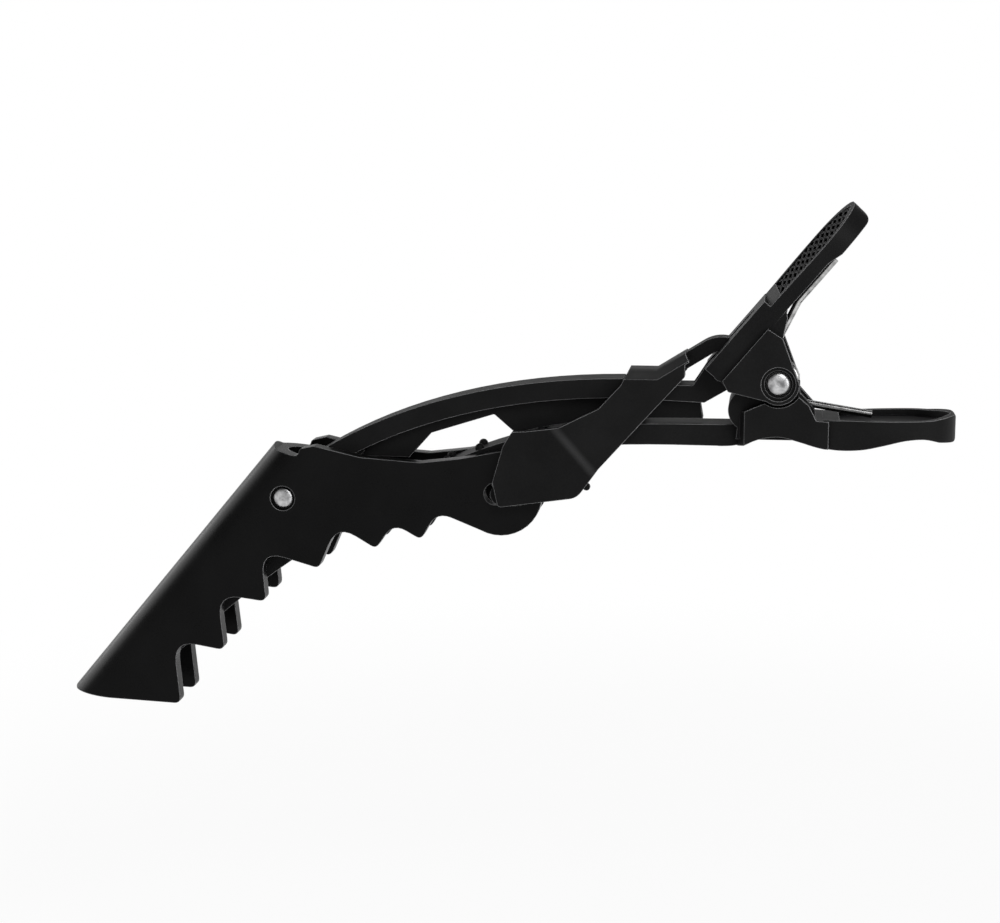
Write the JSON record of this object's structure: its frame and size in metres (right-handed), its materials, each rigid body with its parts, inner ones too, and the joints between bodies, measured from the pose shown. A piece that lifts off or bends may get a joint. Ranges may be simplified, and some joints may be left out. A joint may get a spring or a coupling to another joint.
{
  "type": "hair sectioning clip",
  "caption": "Long double-hinged hair clip: sprung thumb levers open an arched arm and tongue, and a toothed hood rocks on the arm's end against a flexible strap.",
  "frame": {"origin": "on the main pin's axis at mid width, the point that the two thumb levers turn about", "axes": "+X from the nose towards the thumb pads, +Y along the pins, +Z towards the upper thumb pad"},
  "size_m": [0.1112, 0.0122, 0.0641],
  "materials": {
    "black_plastic": "satin moulded black plastic",
    "flexible_black": "smooth flexible black elastomer",
    "steel_pin": "bright turned steel",
    "spring_wire": "bright drawn spring wire"
  },
  "bodies": {
    "upper": {"upper_lever": "black_plastic", "main_pin": "steel_pin", "spring_strap": "flexible_black"},
    "lower": {"lower_lever": "black_plastic", "torsion_spring": "spring_wire"},
    "hood": {"toothed_hood": "black_plastic", "hood_pin": "steel_pin"}
  },
  "joints": [
    {"name": "main_hinge", "type": "hinge", "parent": "upper", "child": "lower", "pos_m": [0, 0, 0], "axis": [0, -1, 0], "range_deg": [0, 45], "stiffness_Nm_per_rad": 0.12, "springref_deg": -34.38, "deforming": ["torsion_spring"]},
    {"name": "hood_rock", "type": "hinge", "parent": "upper", "child": "hood", "pos_m": [-0.0611, 0, -0.0155], "axis": [0, 1, 0], "range_deg": [0, 12], "stiffness_Nm_per_rad": 0.08, "springref_deg": -17.19, "deforming": ["spring_strap"]}
  ]
}
